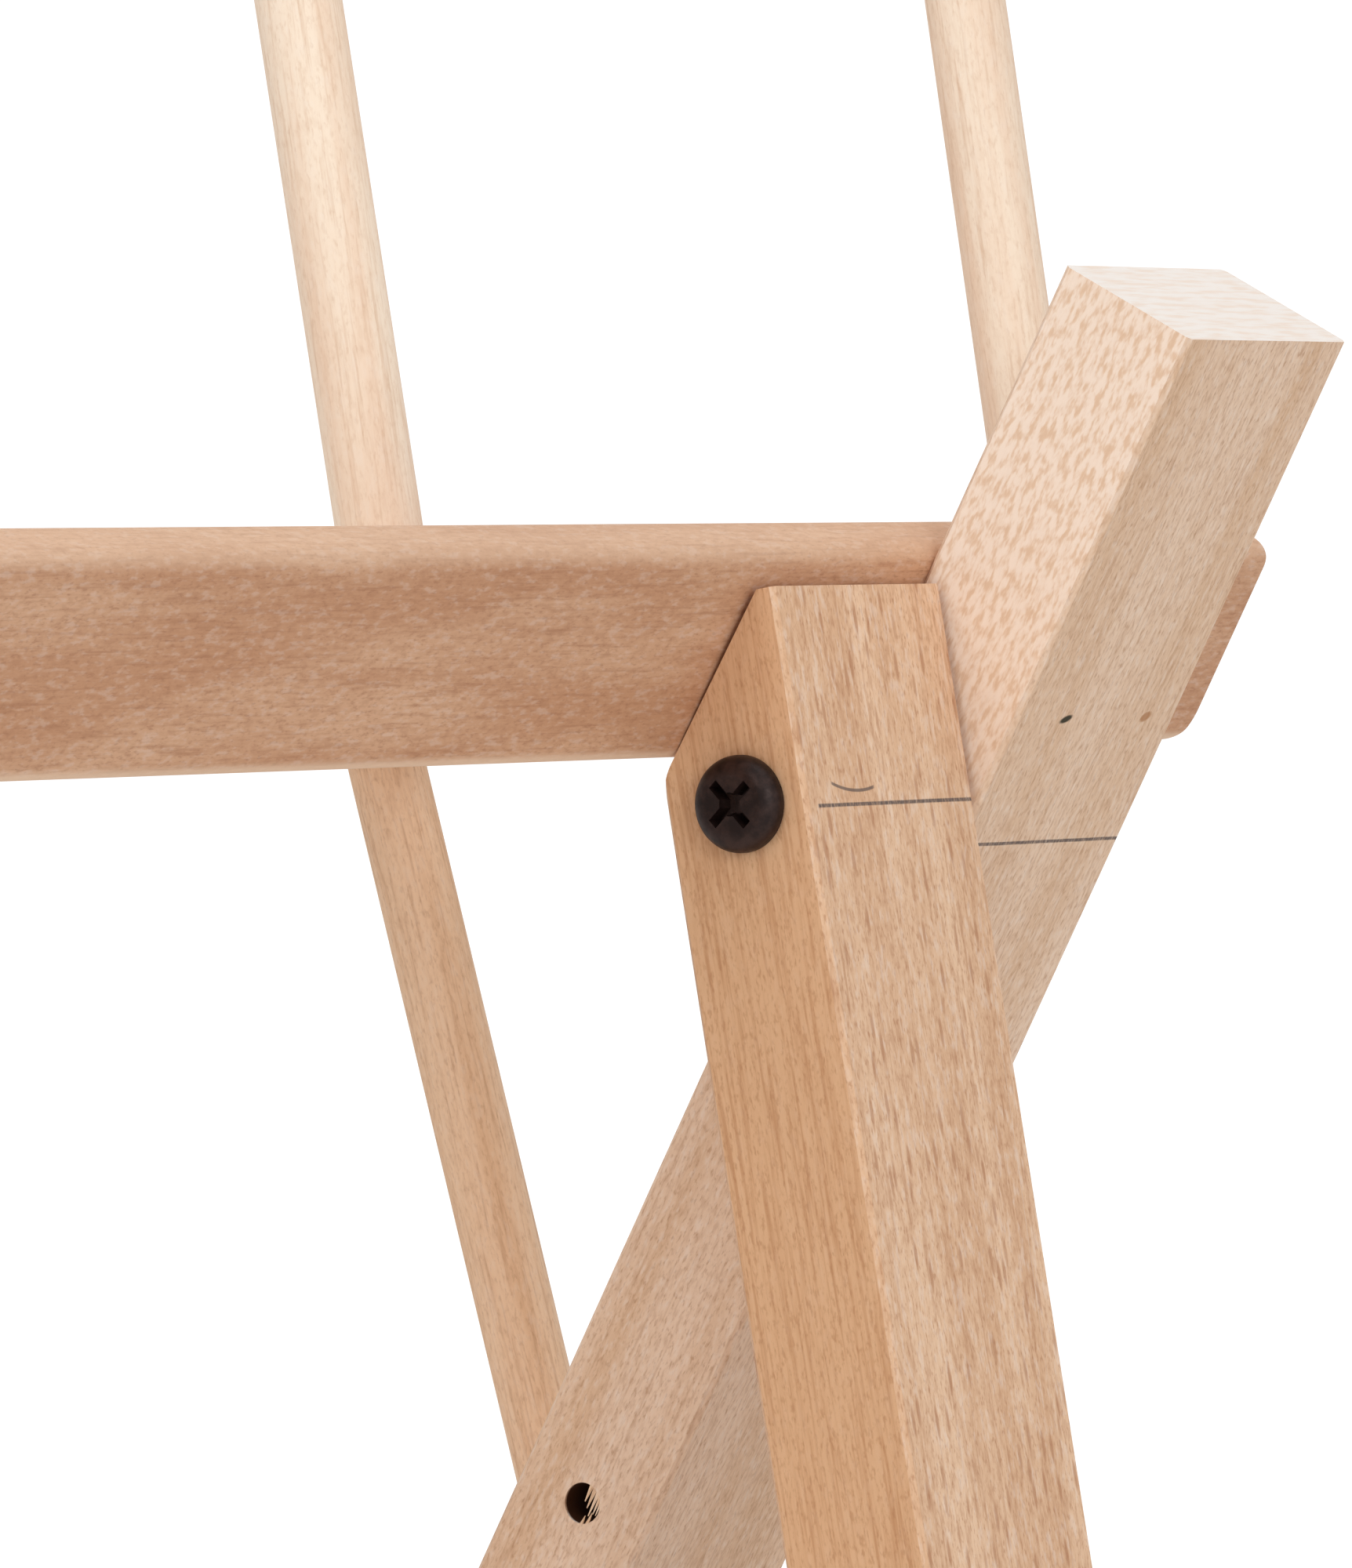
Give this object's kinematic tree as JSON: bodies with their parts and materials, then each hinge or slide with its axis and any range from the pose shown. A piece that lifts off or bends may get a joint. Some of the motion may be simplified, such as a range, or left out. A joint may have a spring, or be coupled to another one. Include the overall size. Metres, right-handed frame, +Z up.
{
  "type": "clothes drying rack",
  "caption": "Folding A-frame clothes rack in beech, with nailed cross rails, prop legs on pivot bolts and round hanging arms that swing down onto a rest rail.",
  "frame": {"origin": "on the floor, under the middle of the open rack's box", "axes": "+X to the right along the rails, +Y to the back, towards which the arms swing down, +Z up"},
  "size_m": [0.62, 0.5718, 1.2064],
  "materials": {
    "leg_beech": "planed beech, unfinished, end grain paler",
    "rail_beech": "moulded and sanded beech, unfinished",
    "dowel_beech": "smooth turned beech dowel",
    "black_hardware": "black oxide, semi-gloss",
    "axle_steel": "bright drawn",
    "zinc_screws": "zinc plated",
    "nail_steel": "plain steel, punched below the surface",
    "white_nylon": "natural nylon"
  },
  "bodies": {
    "long_frame": {"long_leg_left": "leg_beech", "long_leg_right": "leg_beech", "top_rail": "rail_beech", "strut_rail": "rail_beech", "back_rail_1": "rail_beech", "back_rail_2": "rail_beech", "rest_rail": "rail_beech", "strut_1": "dowel_beech", "strut_2": "dowel_beech", "strut_3": "dowel_beech", "arm_bracket_1": "rail_beech", "arm_bracket_2": "rail_beech", "arm_bracket_3": "rail_beech", "arm_bracket_4": "rail_beech", "arm_axle": "axle_steel", "axle_spacers": "white_nylon", "axle_caps": "white_nylon", "long_frame_nails": "nail_steel", "bracket_screws": "zinc_screws", "pivot_bolt_left": "black_hardware", "pivot_bolt_right": "black_hardware", "pivot_spacers": "white_nylon", "pivot_washers": "black_hardware", "pivot_nuts": "black_hardware"},
    "prop_frame": {"prop_leg_left": "leg_beech", "prop_leg_right": "leg_beech", "prop_rail_1": "rail_beech", "prop_rail_2": "rail_beech", "prop_rail_3": "rail_beech", "prop_frame_nails": "nail_steel"},
    "arm_1_body": {"arm_1": "dowel_beech"},
    "arm_2_body": {"arm_2": "dowel_beech"},
    "arm_3_body": {"arm_3": "dowel_beech"},
    "arm_4_body": {"arm_4": "dowel_beech"},
    "arm_5_body": {"arm_5": "dowel_beech"}
  },
  "joints": [
    {"name": "prop_fold", "type": "hinge", "parent": "long_frame", "child": "prop_frame", "pos_m": [0, -0.13414, 0.78], "axis": [1, 0, 0], "range_deg": [0, 38]},
    {"name": "arm_1_swing", "type": "hinge", "parent": "long_frame", "child": "arm_1_body", "pos_m": [-0.3, -0.11191, 0.79726], "axis": [-1, 0, 0], "range_deg": [-36, 74]},
    {"name": "arm_2_swing", "type": "hinge", "parent": "long_frame", "child": "arm_2_body", "pos_m": [-0.15, -0.11191, 0.79726], "axis": [-1, 0, 0], "range_deg": [-36, 74]},
    {"name": "arm_3_swing", "type": "hinge", "parent": "long_frame", "child": "arm_3_body", "pos_m": [0, -0.11191, 0.79726], "axis": [-1, 0, 0], "range_deg": [-36, 74]},
    {"name": "arm_4_swing", "type": "hinge", "parent": "long_frame", "child": "arm_4_body", "pos_m": [0.15, -0.11191, 0.79726], "axis": [-1, 0, 0], "range_deg": [-36, 74]},
    {"name": "arm_5_swing", "type": "hinge", "parent": "long_frame", "child": "arm_5_body", "pos_m": [0.3, -0.11191, 0.79726], "axis": [-1, 0, 0], "range_deg": [-36, 74]}
  ]
}
